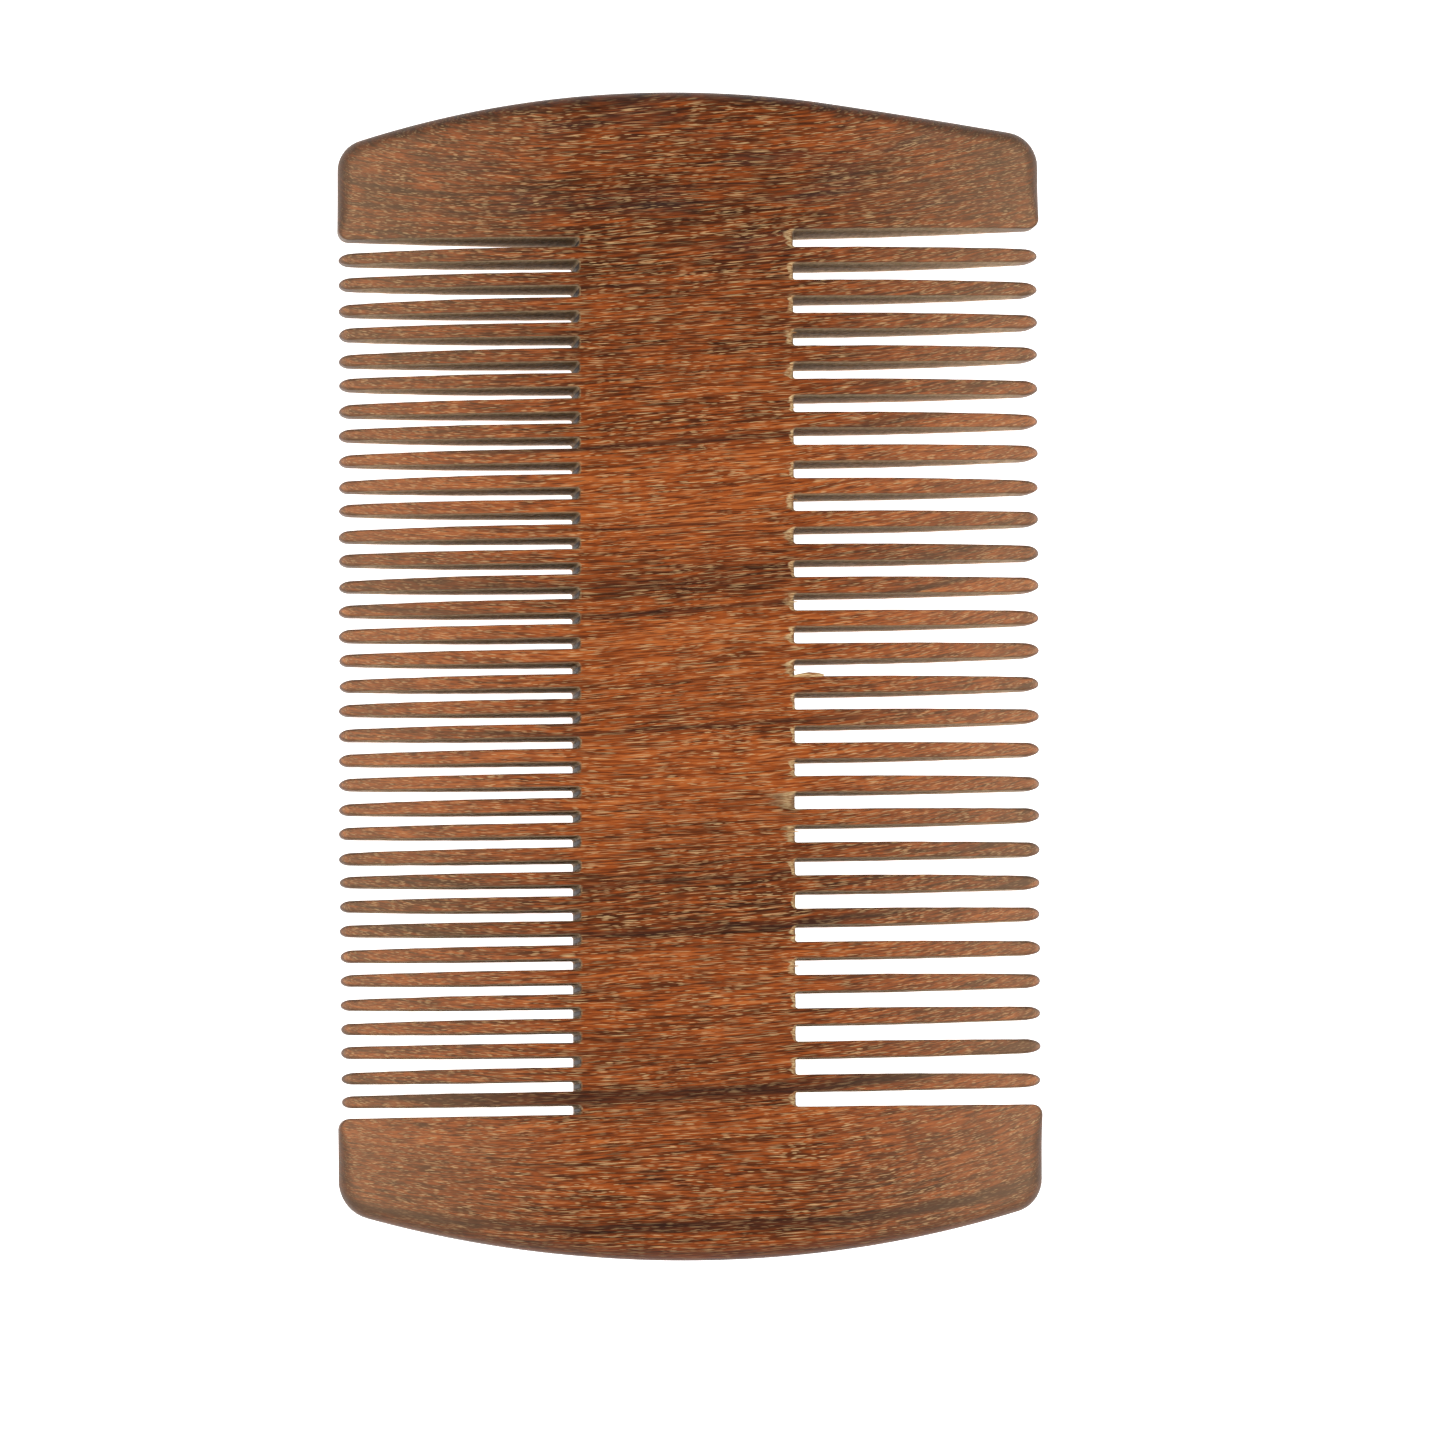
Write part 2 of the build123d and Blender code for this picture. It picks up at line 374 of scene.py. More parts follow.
def row_outline(side, roots, chance):
    """A row of teeth with the slot ends between them, anticlockwise round the comb."""
    runs = [guard_edge(FOOT, side)]
    for index, (centre, width) in enumerate(roots):
        short = WORN_SHORT[side] * max(1 - index / WORN_TEETH, 0)
        runs.append(tooth_outline(side, centre, width, short, chance))
    runs.append(guard_edge(HEAD, side))
    backwards = 0 if side == FINE else -1       # guard edges run inwards, so one has to be turned round
    runs[backwards].reverse()
    if side == FINE:
        runs.reverse()
    points = list(runs[0])
    slots = len(runs) - 1
    corner = SLOT_CORNER_STEPS + 1
    for index, run in enumerate(runs[1:]):
        number = slots - index if side == COARSE else index + 1
        wall = slot_end(points[-1], run[0], side)
        tear(points[-corner:] + wall + run[:corner], chip_depth(side, number))
        points += wall + run
    return points


def slot_end(before, after, side):
    """The wall across the end of a slot, between its two rounded corners."""
    # The wall across a slot's end gets painted shade, and at the fine side a deeper painted shade as well
    sawn, *rest = SLOT_END_FINISH[side]
    points = []
    for y in between(before.y, after.y, SLOT_END_STATION):
        points.append(Point(ROOT[side], y, (-side, 0), SLOT_ROUNDING, sawn, side, None, *rest))
    return points


def chip_depth(side, number):
    """How deep the wood is chipped behind a slot, counted from the head."""
    if side == FINE:
        return FINE_CHIP
    usual = USUAL_CHIP * (1 + CHIP_SPREAD * noise.noise((number * 1.7, 0.5, 2.0)))
    return DEEP_CHIPS.get(number, usual)


def tear(points, depth):
    """Chip the top edge of the wood behind a slot, most in the middle of the slot."""
    low = min(point.y for point in points)
    high = max(point.y for point in points)
    for point in points:
        place = 2 * (point.y - low) / (high - low) - 1
        swell = 1 - abs(place) ** 6
        broad = noise.noise((point.y * 2.6, 1.7, depth))
        fine = noise.noise((point.y * 8.5, 4.1, depth))
        ragged = 0.85 + 0.8 * broad + 0.6 * fine
        point.chip = max(depth * swell * ragged, 0.0)


def comb_outline():
    """The whole plan outline, anticlockwise."""
    chance = random.Random(SEED)
    points = guard_outline(HEAD)
    points += row_outline(FINE, tooth_roots("fine_teeth", FINE), chance)
    points += guard_outline(FOOT)
    points += row_outline(COARSE, tooth_roots("coarse_teeth", COARSE), chance)
    return points


# ------------------------------------------------------------------ the skin

def face_half(x):
    """Half the board's thickness at a place across it: flat, then an arc down to each side."""
    run = HALF_WIDTH - FLAT_HALF_WIDTH
    sink = (THICKNESS - SIDE_THICKNESS) / 2
    radius = (run ** 2 + sink ** 2) / (2 * sink)
    beyond = min(max(abs(x) - FLAT_HALF_WIDTH, 0.0), run)
    return THICKNESS / 2 - radius + math.sqrt(radius ** 2 - beyond ** 2)


def face_z(x, y, up, tip=None):
    """Height of the top (up = 1) or bottom (up = -1) face, with the waviness of hand sanding."""
    half = face_half(x)
    if tip is not None:
        share = clamped(1 - abs(tip - x) / TIP_SIDE_LENGTH)
        half *= math.sqrt(1 - TIP_SHARPNESS * share ** 2)
    broad = noise.noise((x / BROAD_WAVE[0], y / BROAD_WAVE[1], up * 5.0))
    fine = noise.noise((x / FINE_WAVE[0], y / FINE_WAVE[1], up * 9.0))
    sink = WAVINESS * clamped(0.5 + 0.5 * (broad + FINE_WAVE_SHARE * fine))
    return THICKNESS / 2 + up * (half - sink)


class Skin:
    """A surface while it is being made, with how its wood is finished kept at each point."""

    def __init__(self):
        self.mesh = bmesh.new()
        self.layers = {}
        # sawn and torn are the wood's own finish; the other three carry painted shade on the walls, at the
        # slots' ends and along the rounded edges
        for name in ("sawn", "darkened", "burnt", "worn", "torn"):
            self.layers[name] = self.mesh.verts.layers.float.new(name)

    def vertex(self, x, y, z, **finish):
        vertex = self.mesh.verts.new((x * MM, y * MM, z * MM))
        for name, value in finish.items():
            vertex[self.layers[name]] = value
        return vertex


def chipped_edge(point, chip, up, step, angle):
    """Place and drop of one step of the turn from a wall into a face, where a chip widens it."""
    share = 1 - math.cos(angle)
    reach = 0.25 * share + 0.75 * share ** 0.6
    x = point.x + point.inset.x * share - point.side * chip * reach
    y = point.y + point.inset.y * share
    drop = (point.drop + min(CHIP_SLOPE * chip, CHIP_SINK)) * (1 - math.sin(angle))
    if chip > JAGGED_CHIP and 0 < step < TURN_STEPS:
        jag = noise.noise((x * 3.1, y * 6.3, up * 2.0 + step))
        drop = max(drop + JAG_DROP * jag, 0.0)
        x += point.side * JAG_REACH * jag
    return x, y, drop


def torn_share(chip, step, angle):
    """How much pale torn wood shows at one step of a chipped edge. Deep chips are browner inside."""
    if step == TURN_STEPS:
        return 0.0
    bare = min(chip / PALE_CHIP, 1.0) * min(math.sin(angle * 0.9) * 2.2, 1.0)
    reach = chip * (1 - math.cos(angle))
    return bare * min(0.45 / (reach + 0.25), 1.0)


def turned_edge(skin, point, up):
    """The vertices that take one point of the wall over into a face, wall first."""
    chip = point.chip if up > 0 else BOTTOM_CHIP * min(point.chip, BOTTOM_CHIP_LIMIT)
    vertices = []
    for step in range(TURN_STEPS + 1):
        angle = math.radians(90 * step / TURN_STEPS)
        x, y, drop = chipped_edge(point, chip, up, step, angle)
        wall = max(1 - step / (TURN_STEPS - 1), 0.0)
        vertices.append(skin.vertex(
            x, y, face_z(x, y, up, point.tip) - up * drop,
            sawn=point.sawn * wall,
            # Painted shade on the wall and deeper at a slot's end; painted shade along the rounded edge,
            # most halfway round
            darkened=point.darkened * wall,
            burnt=point.burnt * wall,
            worn=math.sin(2 * angle) if step else SAWN_EDGE_SHADE * point.sawn,
            torn=torn_share(chip, step, angle),
        ))
    return vertices


def wall_column(skin, point):
    """The vertices down one point of the outline, from the bottom face up to the top face."""
    bottom = turned_edge(skin, point, -1)
    top = turned_edge(skin, point, 1)
    # The wall's painted shade runs all the way down it.
    finish = {"sawn": point.sawn, "darkened": point.darkened, "burnt": point.burnt}
    wall = []
    for share in WALL_SHARES:
        x, y, z = bottom[0].co.lerp(top[0].co, share) / MM
        wall.append(skin.vertex(x, y, z, **finish))
    return bottom[::-1] + wall + top


def face_points(ring):
    """Mesh points inside a face, on a grid that keeps clear of the face's edge."""
    edge = kdtree.KDTree(len(ring))
    for index, vertex in enumerate(ring):
        edge.insert((vertex.co.x / MM, vertex.co.y / MM, 0), index)
    edge.balance()
    points = []
    for row, y in enumerate(between(-HALF_LENGTH, HALF_LENGTH, FACE_GRID)):
        for x in between(-HALF_WIDTH, HALF_WIDTH, FACE_GRID):
            x += FACE_GRID / 2 * (row % 2)
            if in_face(x, y) and edge.find((x, y, 0))[2] > FACE_CLEARANCE * FACE_GRID:
                points.append((x, y))
    return points


def in_face(x, y):
    """Whether a place is over the spine or a guard, away from their outsides."""
    side = COARSE if x > 0 else FINE
    bow = bow_reach(HEAD if y > 0 else FOOT, x)
    in_board = abs(x) < HALF_WIDTH - GUARD_ROUNDING and abs(y) < bow - GUARD_ROUNDING
    in_spine = ROOT[FINE] < x < ROOT[COARSE]
    in_guard = y > edge_y(HEAD, side, x) or y < edge_y(FOOT, side, x)
    return in_board and (in_spine or in_guard)


def fill_face(skin, ring, up):
    """Close the top or bottom with triangles between the ring and a grid of inner points."""
    vertices = list(ring)
    for x, y in face_points(ring):
        vertices.append(skin.vertex(x, y, face_z(x, y, up)))
    places = [Vector((vertex.co.x / MM, vertex.co.y / MM)) for vertex in vertices]
    count = len(ring)
    edges = [(index, (index + 1) % count) for index in range(count)]
    inside_only, tolerance = 1, 1e-6
    result = geometry.delaunay_2d_cdt(places, edges, [], inside_only, tolerance)
    triangles, origins = result[2], result[3]
    for triangle in triangles:
        corners = [vertices[origins[index][0]] for index in triangle]
        if len(set(corners)) == 3:
            skin.mesh.faces.new(corners if up > 0 else corners[::-1])


def comb_skin():
    """The whole comb as one closed mesh."""
    skin = Skin()
    columns = [wall_column(skin, point) for point in comb_outline()]
    for left, right in zip(columns, columns[1:] + columns[:1]):
        for row in range(len(left) - 1):
            skin.mesh.faces.new((left[row], right[row], right[row + 1], left[row + 1]))
    fill_face(skin, [column[-1] for column in columns], 1)
    fill_face(skin, [column[0] for column in columns], -1)
    unused = [vertex for vertex in skin.mesh.verts if not vertex.link_faces]
    bmesh.ops.delete(skin.mesh, geom=unused, context="VERTS")
    return skin.mesh


# ------------------------------------------------------------------ pieces

def cut(mesh, place, away):
    """Cut a closed mesh with a plane, drop what lies on its away side and cap the cut."""
    parts = mesh.verts[:] + mesh.edges[:] + mesh.faces[:]
    result = bmesh.ops.bisect_plane(
        mesh, geom=parts, dist=1e-8, plane_co=Vector(place) * MM, plane_no=away, clear_outer=True)
    edges = [part for part in result["geom_cut"] if isinstance(part, bmesh.types.BMEdge)]
    for edge in edges:
        edge.smooth = False
    caps = bmesh.ops.holes_fill(mesh, edges=edges, sides=0)["faces"]
    bmesh.ops.triangulate(mesh, faces=caps)


def add_piece(name, mesh, material):
    """Make an object of a finished mesh and let it ride with the comb."""
    for face in mesh.faces:
        face.smooth = True
    data = bpy.data.meshes.new(name)
    mesh.to_mesh(data)
    mesh.free()
    data.materials.append(material)
    piece = bpy.data.objects.new(name, data)
    bpy.context.collection.objects.link(piece)
    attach(piece, "root")
    return piece


def comb_pieces(material):
    """Part the skin into the pieces that stand for the CAD nodes, each a closed mesh."""
    skin = comb_skin()
    head = (0, GUARD_EDGE[HEAD, FINE] - HEAD_CUT, 0)
    foot = Vector((ROOT[FINE], GUARD_EDGE[FOOT, FINE] + FOOT_CUT[FINE], 0))
    along = Vector((ROOT[COARSE], GUARD_EDGE[FOOT, COARSE] + FOOT_CUT[COARSE], 0)) - foot
    from_foot = Vector((-along.y, along.x, 0)).normalized()
    coarse = (ROOT[COARSE] + STUB, 0, 0)
    fine = (ROOT[FINE] - STUB, 0, 0)
    inside = [(head, (0, 1, 0)), (foot, -from_foot)]
    cuts = {
        "head_guard": [(head, (0, -1, 0))],
        "foot_guard": [(foot, from_foot)],
        "spine": [*inside, (coarse, (1, 0, 0)), (fine, (-1, 0, 0))],
        "coarse_teeth": [*inside, (coarse, (-1, 0, 0))],
        "fine_teeth": [*inside, (fine, (1, 0, 0))],
    }
    for node, planes in cuts.items():
        mesh = skin.copy()
        for place, away in planes:
            cut(mesh, place, away)
        piece = add_piece(f"{node}_wood", mesh, material)
        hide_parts(node)
    skin.free()


def fibre_y(slot, across):
    """Where a loose fibre starts along the comb: in a coarse slot, or on the edge of a tooth."""
    tooth_y, tooth_width = tooth_roots("coarse_teeth", COARSE)[::-1][math.floor(slot) - 1]
    if slot % 1:
        return tooth_y + tooth_width / 2
    return tooth_y + COARSE_PITCH / 2 + across * (COARSE_PITCH - tooth_width) / 2


def fibre(skin, slot, across, start, length, width, rise):
    """One torn fibre: a thin flat spindle that lies along the grain on the upper face."""
    start_y = fibre_y(slot, across)
    rings = []
    for station in range(FIBRE_STATIONS):
        share = station / (FIBRE_STATIONS - 1)
        x = ROOT[COARSE] + start + length * share
        y = start_y + rise * math.sin(share * FIBRE_CURL) * length
        along = FIBRE_END + (1 - 2 * FIBRE_END) * share
        wide = width / 2 * math.sqrt(math.sin(math.pi * along))
        wide *= 1 + FIBRE_UNEVENNESS * noise.noise((x * 3, slot, across))
        thick = min(FIBRE_FLATNESS * wide, FIBRE_THICKNESS)
        z = face_z(x, y, 1) - FIBRE_SUNK * thick
        ring = []
        for turn in range(FIBRE_SIDES):
            angle = 2 * math.pi * turn / FIBRE_SIDES
            place = (x, y + wide * math.cos(angle), z + thick * math.sin(angle))
            ring.append(skin.vertex(*place, torn=1.0))
        rings.append(ring)
    for left, right in zip(rings, rings[1:]):
        for turn in range(FIBRE_SIDES):
            after = (turn + 1) % FIBRE_SIDES
            skin.mesh.faces.new((left[turn], left[after], right[after], right[turn]))
    skin.mesh.faces.new(rings[0][::-1])
    skin.mesh.faces.new(rings[-1])


def torn_fibres(material):
    """The splinter on a coarse tooth's root and the wisps that stand over some coarse slots."""
    skin = Skin()
    for parts in (SPLINTER, *WISPS):
        fibre(skin, *parts)
    bmesh.ops.recalc_face_normals(skin.mesh, faces=skin.mesh.faces)
    add_piece("torn_fibres", skin.mesh, material)


# ------------------------------------------------------------------ wood

def srgb(red, green, blue):
    """A colour given as 0 to 255 screen values, as linear light."""
    linear = [((value / 255 + 0.055) / 1.055) ** 2.4 for value in (red, green, blue)]
    return (*linear, 1.0)


# Colour of the wood from dark to bright
WOOD = (
    (0.0, srgb(60, 28, 10)),
    (0.28, srgb(97, 46, 16)),
    (0.5, srgb(134, 63, 22)),
    (0.75, srgb(165, 80, 30)),
    (1.0, srgb(194, 106, 48)),
)
SMOKE = srgb(64, 46, 42)
DUST = srgb(160, 140, 108), srgb(236, 210, 168)
STRAW = srgb(168, 112, 66), srgb(242, 208, 152)

# What covers the wood: how much of it shows at most, and its colour
STREAK = (0.88, srgb(50, 27, 18))
DARK_PORE = (0.75, srgb(48, 22, 10))
PALE_PORE = (0.72, srgb(230, 187, 130))
# Painted sheen: a pale haze over the faces towards the tapered sides
PAINTED_SHEEN = (0.38, srgb(180, 146, 112))
# Painted shade on the walls, strongest where they are not sawn
PAINTED_WALL_SHADE = (0.8, srgb(62, 55, 48))
# Deeper painted shade on the walls at the slots' ends
PAINTED_SLOT_SHADE = (0.85, srgb(40, 28, 18))
# Painted shade along the rounded edges, strongest halfway round
PAINTED_EDGE_SHADE = (0.55, srgb(66, 42, 30))
DUST_COVER = 0.78
STRAW_COVER = 0.86

# Sizes of the wood's features in millimetres: along the grain, across the layers, and down
SLOW_WAVES = (45.0, 9.0, 12.0)
QUICK_WAVES = (8.0, 1.6, 5.0)
SLOW_SWING, QUICK_SWING = 2.6, 0.5              # how far the waves push the layers from end to end
LINES = (9.0, 0.4, 2.2)
HAIR = (2.6, 0.14, 0.5)
LINE_SWING, HAIR_SWING = 2.4, 2.5               # how far lines and hair push the tone
STREAK_BREAKS = (14.0, 1.2, 8.0)
SMOKE_PATCHES = (11.0, 2.6, 5.0)
LONG_PORES = (2.3, 0.09, 0.18)
SHORT_PORES = (1.0, 0.08, 0.15)
DARK_PORES = (2.2, 0.1, 0.2)
PORE_GROUPS = (5.0, 0.17, 0.3)
PORE_DRIFT = (12.0, 3.0, 6.0)
DRIFT_LENGTH = 5.0          # how far the pores are pushed along the grain
SAW_SCRATCHES = (0.35, 4.0, 1.6)
TORN_FIBRES = (0.9, 0.12, 0.4)
SHEEN_FROM, SHEEN_TO = 9.0, 30.0                    # painted sheen: the faces are painted paler and paler between these x
SMOKE_FROM, SMOKE_TO = 28.0, 37.0               # the smoky patches come in between these layers
STEEP_FROM, STEEP_TO = -45.0, -36.0             # the grain's rise grows between these y

# How rough the wood is where its grain is closed and where it is open, and how much rougher if sawn
CLOSED_ROUGHNESS, OPEN_ROUGHNESS = 0.42, 0.62
SAWN_ROUGHNESS = 0.2
RELIEF_DEPTH = 0.06         # of the grain, in millimetres

# How bright the wood is across its growth layers: place in millimetres, tone from 0 to 1
TONES = (
    (-56, 0.4), (-50, 0.45), (-46, 0.3), (-43, 0.35), (-40, 0.45), (-37, 0.75), (-34.5, 0.35),
    (-31, 0.55), (-27, 0.6), (-23, 0.65), (-20, 0.2), (-17, 0.22), (-14, 0.6), (-10, 0.8),
    (-7, 0.95), (-5, 0.55), (-2, 0.7), (2, 0.85), (4, 1.0), (7, 0.35), (9, 0.4), (12, 0.8),
    (16, 1.0), (18, 0.95), (21, 0.35), (23, 0.62), (27, 0.35), (30, 0.42), (35, 0.22),
    (40, 0.2), (44, 0.42), (48, 0.1),
)
# Dark streaks: place across the layers and width in millimetres, strength from 0 to 1
STREAKS = (
    (40.2, 0.25, 0.65), (38.6, 0.25, 0.6), (26.4, 0.16, 0.5), (24.5, 0.16, 0.45), (19.1, 0.4, 0.9),
    (12.9, 0.3, 0.55), (9.2, 0.25, 0.35), (7.8, 0.8, 0.5), (5.4, 0.45, 0.85), (-4.65, 0.35, 0.65),
    (-17.05, 0.35, 0.6), (-20.8, 0.5, 0.85), (-25.3, 0.25, 0.35), (-30.0, 0.25, 0.35),
    (-34.1, 1.1, 1.0), (-45.0, 0.75, 1.0),
)
LAYER_SPAN = 58.0           # the layers' scale runs this far each way from the middle
GRAIN_RISE = 0.07           # streaks rise this much in y for each millimetre in x,
FOOT_GRAIN_RISE = 0.02      # only this much at the foot,
LAYER_LEAN = 0.73           # and this much for each millimetre down into the board


class Graph:
    """Short ways to add shader nodes and join them."""

    def __init__(self, tree):
        self.tree = tree
        tree.nodes.clear()

    def node(self, kind, inputs=None, **settings):
        made = self.tree.nodes.new(f"ShaderNode{kind}")
        for name, value in settings.items():
            setattr(made, name, value)
        for name, value in (inputs or {}).items():
            self.feed(made.inputs[name], value)
        return made

    def feed(self, socket, value):
        if isinstance(value, bpy.types.NodeSocket):
            self.tree.links.new(value, socket)
        else:
            socket.default_value = value

    def math(self, operation, first, second=0.0, third=0.0, clamp=False):
        inputs = {0: first, 1: second, 2: third}
        return self.node("Math", inputs, operation=operation, use_clamp=clamp).outputs[0]

    def times(self, first, second):
        return self.math("MULTIPLY", first, second)

    def swing(self, value, amount, base):
        """Let a value that lies about 0.5 push another one up and down."""
        return self.math("MULTIPLY_ADD", self.math("SUBTRACT", value, 0.5), amount, base)

    def spread(self, value, low, high, start=0.0, stop=1.0, smooth=False):
        """Carry a value from low..high to start..stop, held at both ends."""
        kind = "SMOOTHSTEP" if smooth else "LINEAR"
        inputs = {"Value": value, "From Min": low, "From Max": high, "To Min": start, "To Max": stop}
        return self.node("MapRange", inputs, interpolation_type=kind, clamp=True).outputs[0]

    def mix(self, share, first, second):
        made = self.node("Mix", data_type="RGBA", blend_type="MIX", clamp_factor=True)
        for index, value in ((0, share), (6, first), (7, second)):
            self.feed(made.inputs[index], value)
        return made.outputs[2]

    def cover(self, colour, share, amount, over):
        """Lay a colour over another one, at most by the given amount."""
        return self.mix(self.times(share, amount), colour, over)

    def stretched(self, place, sizes, shift=0.0):
        """Coordinates in which a feature of the given sizes is one unit across.

        The shift keeps features that are made in the same way from lying in the same places.
        """
        scaled = [self.math("MULTIPLY_ADD", part, 1 / size, shift) for part, size in zip(place, sizes)]
        return self.node("CombineXYZ", dict(zip("XYZ", scaled))).outputs[0]

    def noise(self, place, sizes, shift=0.0, detail=2.0, roughness=0.5):
        vector = self.stretched(place, sizes, shift)
        inputs = {"Vector": vector, "Scale": 1.0, "Detail": detail, "Roughness": roughness}
        return self.node("TexNoise", inputs).outputs[0]

    def ramp(self, value, stops):
        made = self.node("ValToRGB", {0: value})
        ramp = made.color_ramp
        for index, (place, colour) in enumerate(stops):
            element = ramp.elements[index] if index < 2 else ramp.elements.new(place)
            element.position = place
            element.color = colour
        return made.outputs[0]

    def attribute(self, name):
        return self.node("Attribute", attribute_name=name).outputs["Fac"]


def new_material(name):
    """A material with an empty node tree, and the tree."""
    material = bpy.data.materials.new(name)
    material.use_nodes = True
    return material, Graph(material.node_tree)


def board_place(graph):
    """Where a point lies in the board, in millimetres."""
    place = graph.node("TexCoord").outputs["Object"]
    scaled = graph.node("VectorMath", {0: place, 3: 1 / MM}, operation="SCALE").outputs[0]
    return tuple(graph.node("SeparateXYZ", {0: scaled}).outputs)


def growth_layer(graph, x, y, z):
    """Which growth layer a point lies in: its place along the comb, with the grain's run taken out."""
    rise = graph.spread(y, STEEP_FROM, STEEP_TO, FOOT_GRAIN_RISE, GRAIN_RISE)
    straight = graph.math("SUBTRACT", y, graph.times(x, rise))
    depth = graph.math("SUBTRACT", z, THICKNESS)
    straight = graph.math("MULTIPLY_ADD", depth, LAYER_LEAN, straight)
    slow = graph.noise((x, straight, z), SLOW_WAVES, detail=1.0)
    quick = graph.noise((x, straight, z), QUICK_WAVES, 7.3)
    return graph.swing(quick, QUICK_SWING, graph.swing(slow, SLOW_SWING, straight))


def layer_colour(graph, layer, lines, hair):
    """Colour of the growth layers, with lines and hair-thin fibres along them."""
    across = graph.math("MULTIPLY_ADD", layer, 1 / (2 * LAYER_SPAN), 0.5)
    tones = [((where + LAYER_SPAN) / (2 * LAYER_SPAN), (tone, tone, tone, 1.0)) for where, tone in TONES]
    tone = graph.ramp(across, tones)
    tone = graph.swing(hair, HAIR_SWING, graph.swing(lines, LINE_SWING, tone))
    return graph.ramp(graph.math("MULTIPLY_ADD", tone, 0.5, 0.25), WOOD)


def dark_streaks(graph, grain):
    """Strength of the dark streaks: each is full at its place, fades over its width and comes and goes."""
    total = 0.0
    for place, width, strength in STREAKS:
        away = graph.math("ABSOLUTE", graph.math("SUBTRACT", grain[1], place))
        line = graph.spread(away, 0.15 * width, width, strength, 0.0, smooth=True)
        total = graph.math("MAXIMUM", line, total)
    fading = graph.noise(grain, STREAK_BREAKS, 1.9)
    return graph.times(total, graph.spread(fading, 0.3, 0.55, 0.6, 1.0))


def smoky_patches(graph, grain):
    """Soft dark patches, at the head only."""
    patches = graph.spread(graph.noise(grain, SMOKE_PATCHES, 12.4), 0.5, 0.68, smooth=True)
    return graph.times(patches, graph.spread(grain[1], SMOKE_FROM, SMOKE_TO, 0.0, 0.4, smooth=True))


def pores(graph, grain, sizes, shift, share):
    """Cut vessels: short dashes along the grain, each there or not by chance."""
    place = graph.stretched(grain, sizes, shift)
    cells = graph.node("TexVoronoi", {"Vector": place, "Scale": 1.0, "Randomness": 1.0})
    near = graph.spread(cells.outputs["Distance"], 0.2, 0.42, 1.0, 0.0, smooth=True)
    chance = graph.node("SeparateColor", {0: cells.outputs["Color"]}).outputs[0]
    present = graph.spread(chance, 1 - share, min(1 - share + 0.4, 1.0))
    return graph.times(near, present)


def all_pores(graph, grain):
    """Strength of the pale pores, which gather in some layers, and of the dark ones."""
    x, layer, z = grain
    drift = graph.noise(grain, PORE_DRIFT, 17.0, detail=1.0)
    drifted = (graph.math("MULTIPLY_ADD", drift, DRIFT_LENGTH, x), layer, z)
    long_pores = pores(graph, drifted, LONG_PORES, 0.0, 0.85)
    short_pores = pores(graph, drifted, SHORT_PORES, 21.0, 0.8)
    groups = graph.noise(grain, PORE_GROUPS, 27.0, detail=1.0)
    pale = graph.math("MAXIMUM", long_pores, short_pores)
    pale = graph.times(pale, graph.spread(groups, 0.38, 0.56, 0.25, 1.0))
    return pale, pores(graph, drifted, DARK_PORES, 43.0, 0.95)


def wall_finish_and_painted_shade(graph, colour, place, scratch, sawn):
    """Colour of the sawn walls, the painted shade on the walls and, deeper, at the slots' ends, the
    painted shade along the rounded edges, and the torn fibres.
    """
    dust = graph.mix(graph.spread(scratch, 0.25, 0.75), *DUST)
    colour = graph.cover(colour, sawn, DUST_COVER, dust)
    # Painted shade on the walls
    colour = graph.cover(colour, graph.attribute("darkened"), *PAINTED_WALL_SHADE)
    # Deeper painted shade at the slots' ends
    colour = graph.cover(colour, graph.attribute("burnt"), *PAINTED_SLOT_SHADE)
    # Painted shade along the rounded edges
    colour = graph.cover(colour, graph.attribute("worn"), *PAINTED_EDGE_SHADE)
    fibres = graph.noise(place, TORN_FIBRES, 2.0)
    straw = graph.mix(graph.spread(fibres, 0.4, 0.6), *STRAW)
    return graph.cover(colour, graph.attribute("torn"), STRAW_COVER, straw)


def surface(graph, colour, roughness, relief):
    """The wood's shader, with a fine relief."""
    bump = graph.node("Bump", {"Height": relief, "Strength": 0.35, "Distance": RELIEF_DEPTH * MM})
    shader = graph.node("BsdfPrincipled", {
        "Base Color": colour,
        "Roughness": roughness,
        "Normal": bump.outputs[0],
        "Specular IOR Level": 0.12,
    })
    graph.node("OutputMaterial", {"Surface": shader.outputs[0]})


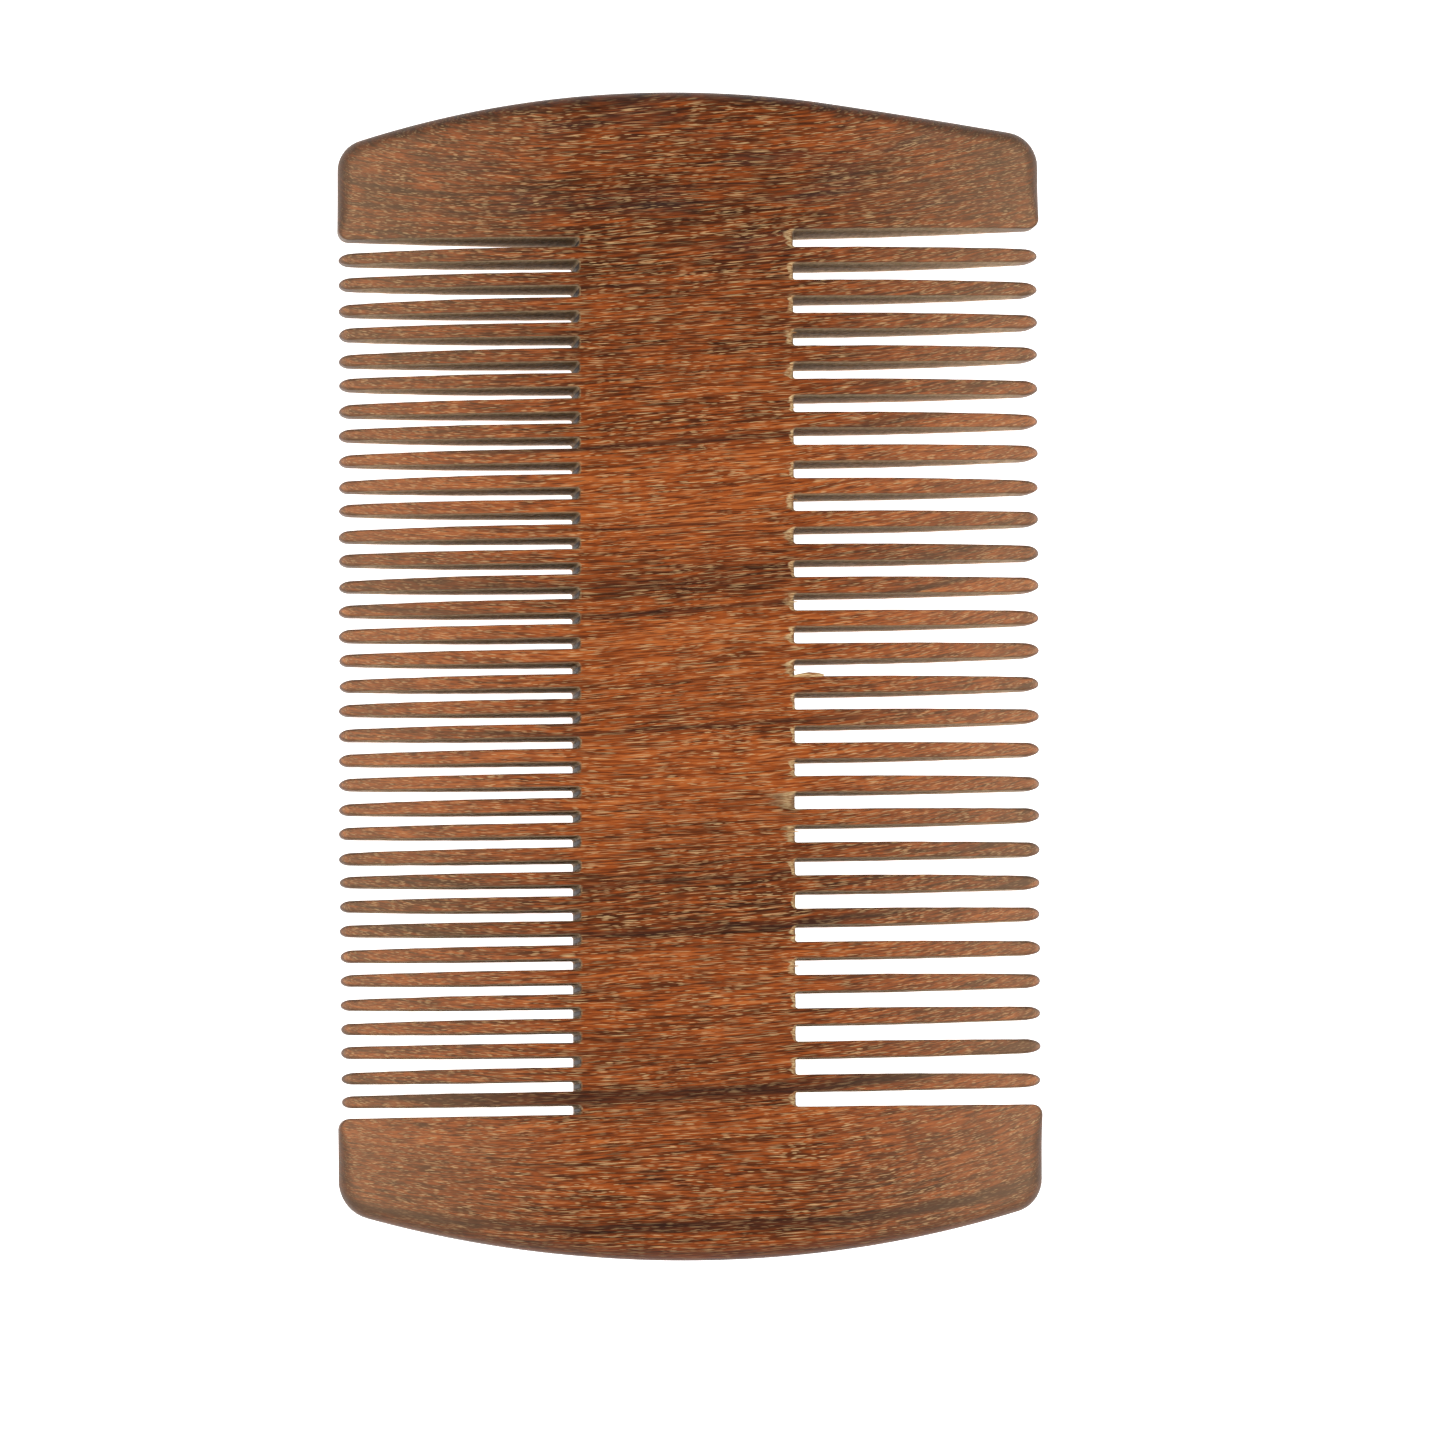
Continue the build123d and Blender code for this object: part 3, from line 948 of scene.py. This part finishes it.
def wood():
    """Reddish brown wood, solid through the board: layers, streaks, fibres and open pores."""
    material, graph = new_material("comb_wood")
    x, y, z = board_place(graph)
    layer = growth_layer(graph, x, y, z)
    grain = (x, layer, z)
    lines = graph.noise(grain, LINES, 3.1, 3.0, 0.6)
    hair = graph.noise(grain, HAIR, 5.7, 1.0, 0.6)
    hair = graph.spread(hair, 0.3, 0.7, 0.3, 0.7, smooth=True)
    streak = dark_streaks(graph, grain)
    pale, dark = all_pores(graph, grain)
    pale = graph.times(pale, graph.spread(streak, 0.0, 1.0, 1.0, 0.35))
    # Painted sheen: paler towards the tapered sides
    painted_sheen = graph.spread(graph.math("ABSOLUTE", x), SHEEN_FROM, SHEEN_TO)
    sawn = graph.attribute("sawn")
    scratch = graph.noise((x, y, z), SAW_SCRATCHES, 9.0, 3.0, 0.6)

    colour = layer_colour(graph, layer, lines, hair)
    colour = graph.cover(colour, streak, *STREAK)
    colour = graph.mix(smoky_patches(graph, grain), colour, SMOKE)
    colour = graph.cover(colour, dark, *DARK_PORE)
    colour = graph.cover(colour, pale, *PALE_PORE)
    # Painted sheen over the faces towards the tapered sides
    colour = graph.cover(colour, painted_sheen, *PAINTED_SHEEN)
    colour = wall_finish_and_painted_shade(graph, colour, (x, y, z), scratch, sawn)

    relief = graph.math("MULTIPLY_ADD", pale, -0.6, graph.times(hair, 0.5))
    relief = graph.math("MULTIPLY_ADD", dark, -0.5, relief)
    relief = graph.math("MULTIPLY_ADD", graph.times(scratch, sawn), 0.8, relief)
    open_grain = graph.math("ADD", lines, pale)
    roughness = graph.spread(open_grain, 0.3, 1.4, CLOSED_ROUGHNESS, OPEN_ROUGHNESS)
    roughness = graph.math("MULTIPLY_ADD", sawn, SAWN_ROUGHNESS, roughness, clamp=True)
    surface(graph, colour, roughness, relief)
    return material


# ------------------------------------------------------------------ floor, light, camera

FLOOR_SIZE = 6.0                                # metres
FLOOR_COLOUR = (0.86, 0.86, 0.86, 1.0)
FLOOR_GLOW = 1.3                                # keeps the floor white under the soft light
SKY_COLOUR = (0.93, 0.95, 1.0, 1.0)
SKY_STRENGTH = 0.34
SIDE_LIGHT = (0.95, -0.1, 0.85)                 # metres from the comb
FOOT_LIGHT = (0.0, -0.95, 0.85)
LIGHT_SIZE = 0.8
SIDE_POWER, FOOT_POWER = 6.2, 5.2               # watts
CAMERA_PLACE = Vector((-65.0, -43.0, 815.0))
CAMERA_TARGET = Vector((2.69, -3.735, THICKNESS / 2))
CAMERA_UPRIGHT = Vector((0.003, 1.0, 0.0))      # the comb lies turned a hair against the picture's edges
CAMERA_LENS = 246.1


def make_floor():
    """A plain pale floor under the comb."""
    material, graph = new_material("pale_floor")
    shader = graph.node("BsdfPrincipled", {
        "Base Color": FLOOR_COLOUR,
        "Roughness": 0.9,
        "Specular IOR Level": 0.1,
        "Emission Color": (1.0, 1.0, 1.0, 1.0),
        "Emission Strength": FLOOR_GLOW,
    })
    graph.node("OutputMaterial", {"Surface": shader.outputs[0]})
    mesh = bmesh.new()
    bmesh.ops.create_grid(mesh, x_segments=2, y_segments=2, size=FLOOR_SIZE / 2)
    data = bpy.data.meshes.new("floor")
    mesh.to_mesh(data)
    mesh.free()
    data.materials.append(material)
    floor = bpy.data.objects.new("floor", data)
    bpy.context.collection.objects.link(floor)


def softbox(name, place, power):
    """A square area light that faces the comb."""
    data = bpy.data.lights.new(name, "AREA")
    data.shape = "SQUARE"
    data.size = LIGHT_SIZE
    data.energy = power
    light = bpy.data.objects.new(name, data)
    light.location = place
    light.rotation_mode = "QUATERNION"
    light.rotation_quaternion = Vector(place).to_track_quat("Z", "Y")
    bpy.context.collection.objects.link(light)


def make_light():
    """Soft studio light from both sides and from the foot, low enough to rake the tapered sides."""
    x, y, z = SIDE_LIGHT
    softbox("fine_side_light", (-x, y, z), SIDE_POWER)
    softbox("coarse_side_light", (x, y, z), SIDE_POWER)
    softbox("foot_light", FOOT_LIGHT, FOOT_POWER)
    world = bpy.data.worlds.new("studio")
    world.use_nodes = True
    background = world.node_tree.nodes["Background"]
    background.inputs["Color"].default_value = SKY_COLOUR
    background.inputs["Strength"].default_value = SKY_STRENGTH
    bpy.context.scene.world = world


def make_camera():
    """A long lens high over the comb, a little to its fine side and foot."""
    data = bpy.data.cameras.new("camera")
    data.sensor_width = 36.0
    data.lens = CAMERA_LENS
    data.clip_start, data.clip_end = 0.05, 20.0
    camera = bpy.data.objects.new("camera", data)
    camera.location = CAMERA_PLACE * MM
    camera.rotation_mode = "QUATERNION"
    back = (CAMERA_PLACE - CAMERA_TARGET).normalized()
    right = CAMERA_UPRIGHT.cross(back).normalized()
    axes = Matrix((right, back.cross(right), back)).transposed()
    camera.rotation_quaternion = axes.to_quaternion()
    bpy.context.collection.objects.link(camera)
    bpy.context.scene.camera = camera


comb_wood = wood()
comb_pieces(comb_wood)
torn_fibres(comb_wood)
make_floor()
make_light()
make_camera()
bpy.context.scene.view_settings.view_transform = "Standard"
